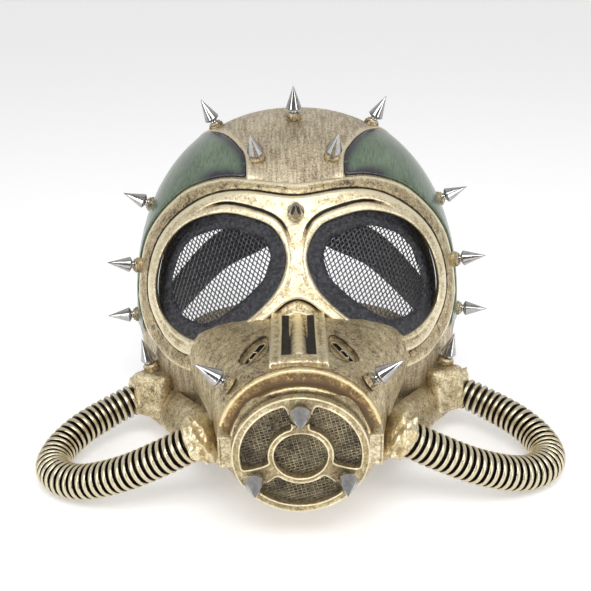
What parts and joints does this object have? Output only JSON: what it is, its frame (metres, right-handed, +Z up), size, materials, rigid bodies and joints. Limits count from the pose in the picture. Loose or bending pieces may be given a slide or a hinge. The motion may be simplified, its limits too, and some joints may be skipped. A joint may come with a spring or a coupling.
{
  "type": "gas mask style costume mask",
  "caption": "Moulded costume mask with a domed shell, mesh eyes in raised goggle frames, a short filter muzzle, ribbed side hoses, a head strap and screwed spikes.",
  "frame": {"origin": "middle of the outer box in plan, at the surface that the mask rests on", "axes": "+X towards the right of someone who looks at the front, +Y from the front to the back of the head, +Z up as the mask rests"},
  "size_m": [0.2808, 0.2798, 0.1915],
  "materials": {
    "gold_shell": "moulded plastic with antique gold metallic paint and dark patina",
    "green_panel": "brushed grey-green metallic paint, dark at the inner edges",
    "gasket": "dark slate, half matt, uneven",
    "eye_wire": "black woven wire",
    "filter_wire": "darkened gold wire mesh",
    "hose_metal": "pale gold corrugated metal, dark in the grooves",
    "elastic": "black woven elastic",
    "spike_metal": "polished, slightly dark chrome"
  },
  "bodies": {
    "root": {"mask_shell": "gold_shell", "filter_cap": "gold_shell", "filter_mesh": "filter_wire", "temple_panel_left": "green_panel", "temple_panel_right": "green_panel", "eye_gasket_left": "gasket", "eye_gasket_right": "gasket", "eye_mesh_left": "eye_wire", "eye_mesh_right": "eye_wire", "hose_left": "hose_metal", "hose_right": "hose_metal", "head_strap": "elastic", "spike_crown": "spike_metal", "spike_crown_side_left": "spike_metal", "spike_crown_side_right": "spike_metal", "spike_forehead_left": "spike_metal", "spike_forehead_right": "spike_metal", "spike_temple_left": "spike_metal", "spike_temple_right": "spike_metal", "spike_side_upper_left": "spike_metal", "spike_side_upper_right": "spike_metal", "spike_side_lower_left": "spike_metal", "spike_side_lower_right": "spike_metal", "spike_cheek_left": "spike_metal", "spike_cheek_right": "spike_metal", "spike_muzzle_left": "spike_metal", "spike_muzzle_right": "spike_metal", "spike_brow": "spike_metal", "spike_cap_top": "spike_metal", "spike_cap_left": "spike_metal", "spike_cap_right": "spike_metal"}
  },
  "joints": []
}
